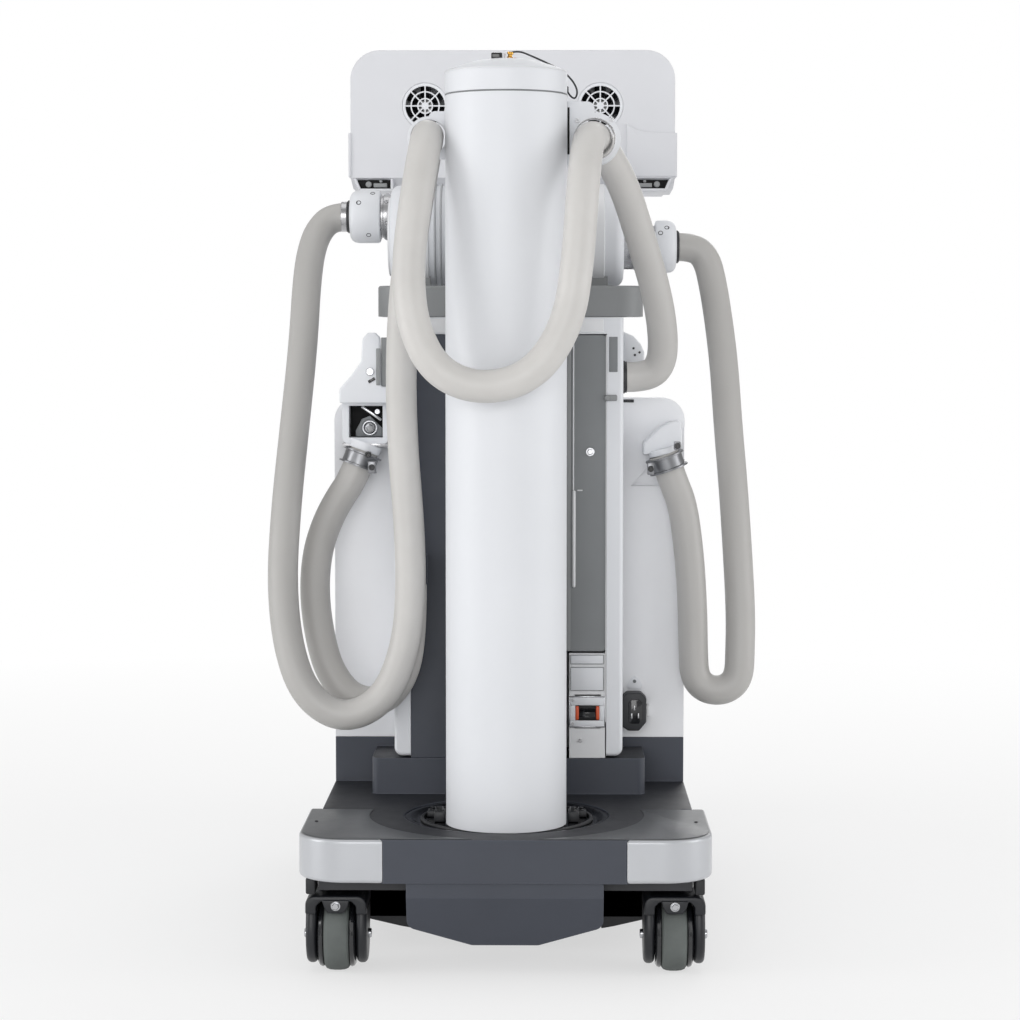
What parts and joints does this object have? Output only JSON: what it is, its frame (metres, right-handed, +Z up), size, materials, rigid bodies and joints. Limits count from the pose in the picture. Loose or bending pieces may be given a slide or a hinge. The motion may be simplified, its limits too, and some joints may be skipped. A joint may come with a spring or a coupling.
{
  "type": "mobile x-ray machine",
  "caption": "Mobile x-ray machine with a turning telescopic column, parked tube head, operator's console, cable loops, casters and drive wheels.",
  "frame": {"origin": "on the floor, under the middle of the machine", "axes": "+Z up, -Y towards the column end that leads, +X to the right of a viewer who faces the column end"},
  "size_m": [0.7176, 1.2, 1.329],
  "materials": {
    "white_shell": "satin",
    "console_grey": "satin",
    "slate_shell": "satin",
    "silver_bumper": "satin",
    "black_frame": "matte",
    "dark_plastic": "matte",
    "panel_grey": "satin",
    "light_panel": "satin",
    "mast_metal": "satin",
    "white_metal": "satin",
    "handle_grey": "satin",
    "screen": "glossy",
    "red_button": "glossy",
    "black_gloss": "glossy",
    "steel": "brushed",
    "tyre": "matte",
    "cable_sleeve": "satin"
  },
  "bodies": {
    "base": {"chassis_frame": "black_frame", "base_shell": "slate_shell", "front_skirt": "slate_shell", "bumper_left": "silver_bumper", "bumper_right": "silver_bumper", "turntable_ring": "dark_plastic", "cabinet_shell": "white_shell", "spine_shell": "white_metal", "channel_panel": "slate_shell", "service_cover": "panel_grey", "switch_panel": "light_panel", "main_switch": "dark_plastic", "mains_inlet": "dark_plastic", "gland_left": "white_shell", "gland_right": "white_shell", "clamp_left": "steel", "clamp_right": "steel", "hose_socket": "dark_plastic", "rest_left": "white_shell", "rest_right": "white_shell", "console_neck": "white_shell", "console_shell": "console_grey", "touchscreen": "screen", "push_handle": "dark_plastic", "fan_grille_left": "white_shell", "fan_grille_right": "white_shell", "cable_right": "cable_sleeve", "cable_left": "cable_sleeve"},
    "column": {"column_base": "black_frame", "column_cover": "white_shell", "column_frame": "mast_metal", "ring_bracket_left": "white_shell", "ring_bracket_right": "white_shell", "cable_feed": "cable_sleeve"},
    "mast": {"mast": "mast_metal", "column_cap": "white_shell", "arm_outer": "white_metal"},
    "arm": {"arm_inner": "mast_metal"},
    "yoke": {"yoke": "white_metal"},
    "head": {"tube_housing": "white_metal", "tube_handle": "handle_grey", "horn_left": "white_shell", "horn_right": "white_shell"},
    "collimator": {"collimator_body": "console_grey"},
    "rocker": {"switch_rocker": "black_gloss"},
    "estop": {"estop_button": "red_button"},
    "key": {"key_switch": "steel"},
    "drive_bar": {"drive_bar": "steel"},
    "fan_left": {"fan_rotor_left": "dark_plastic"},
    "rear_wheel_left": {"rear_tyre_left": "tyre", "rear_hub_left": "panel_grey"},
    "caster_left": {"caster_fork_left": "dark_plastic"},
    "caster_wheel_left": {"caster_tyre_left": "tyre", "caster_hub_left": "black_gloss"},
    "fan_right": {"fan_rotor_right": "dark_plastic"},
    "rear_wheel_right": {"rear_tyre_right": "tyre", "rear_hub_right": "panel_grey"},
    "caster_right": {"caster_fork_right": "dark_plastic"},
    "caster_wheel_right": {"caster_tyre_right": "tyre", "caster_hub_right": "black_gloss"}
  },
  "joints": [
    {"name": "column_rotate", "type": "hinge", "parent": "base", "child": "column", "pos_m": [0, -0.409, 0.19], "axis": [0, 0, 1], "range_deg": [-135, 135], "deforming": ["cable_feed", "cable_right"]},
    {"name": "mast_rise", "type": "slide", "parent": "column", "child": "mast", "axis": [0, 0, 1], "range_m": [0, 0.6]},
    {"name": "arm_extend", "type": "slide", "parent": "mast", "child": "arm", "axis": [0, 1, 0], "range_m": [-0.06, 0.12]},
    {"name": "head_roll", "type": "hinge", "parent": "arm", "child": "yoke", "pos_m": [0, -0.028, 1.02], "axis": [0, 1, 0], "range_deg": [-90, 90]},
    {"name": "head_tilt", "type": "hinge", "parent": "yoke", "child": "head", "pos_m": [0, 0.08, 1.02], "axis": [1, 0, 0], "range_deg": [-10, 90]},
    {"name": "collimator_turn", "type": "hinge", "parent": "head", "child": "collimator", "pos_m": [0, 0.08, 0.9], "axis": [0, 0, 1], "range_deg": [-90, 90]},
    {"name": "fan_spin_left", "type": "hinge", "parent": "base", "child": "fan_left", "pos_m": [-0.143, 0.3, 1.239], "axis": [0, 1, 0], "continuous": true},
    {"name": "fan_spin_right", "type": "hinge", "parent": "base", "child": "fan_right", "pos_m": [0.143, 0.3, 1.239], "axis": [0, 1, 0], "continuous": true},
    {"name": "main_switch_tip", "type": "hinge", "parent": "base", "child": "rocker", "pos_m": [0.116, -0.232, 0.316], "axis": [1, 0, 0], "range_deg": [-24, 0]},
    {"name": "estop_press", "type": "slide", "parent": "base", "child": "estop", "axis": [0, -0.6126, -0.7904], "range_m": [0, 0.005], "stiffness_N_per_m": 900},
    {"name": "key_turn", "type": "hinge", "parent": "base", "child": "key", "pos_m": [-0.185, 0.41114, 1.27387], "axis": [0, 0.6126, 0.7904], "range_deg": [0, 90]},
    {"name": "drive_bar_squeeze", "type": "slide", "parent": "base", "child": "drive_bar", "axis": [0, 1, 0], "range_m": [0, 0.01], "stiffness_N_per_m": 1500},
    {"name": "rear_wheel_spin_left", "type": "hinge", "parent": "base", "child": "rear_wheel_left", "pos_m": [-0.234, 0.38, 0.12], "axis": [1, 0, 0], "continuous": true},
    {"name": "caster_swivel_left", "type": "hinge", "parent": "base", "child": "caster_left", "pos_m": [-0.229, -0.49, 0.11], "axis": [0, 0, 1], "continuous": true},
    {"name": "caster_spin_left", "type": "hinge", "parent": "caster_left", "child": "caster_wheel_left", "pos_m": [-0.229, -0.516, 0.05], "axis": [1, 0, 0], "continuous": true},
    {"name": "rear_wheel_spin_right", "type": "hinge", "parent": "base", "child": "rear_wheel_right", "pos_m": [0.234, 0.38, 0.12], "axis": [1, 0, 0], "continuous": true},
    {"name": "caster_swivel_right", "type": "hinge", "parent": "base", "child": "caster_right", "pos_m": [0.229, -0.49, 0.11], "axis": [0, 0, 1], "continuous": true},
    {"name": "caster_spin_right", "type": "hinge", "parent": "caster_right", "child": "caster_wheel_right", "pos_m": [0.229, -0.516, 0.05], "axis": [1, 0, 0], "continuous": true}
  ]
}
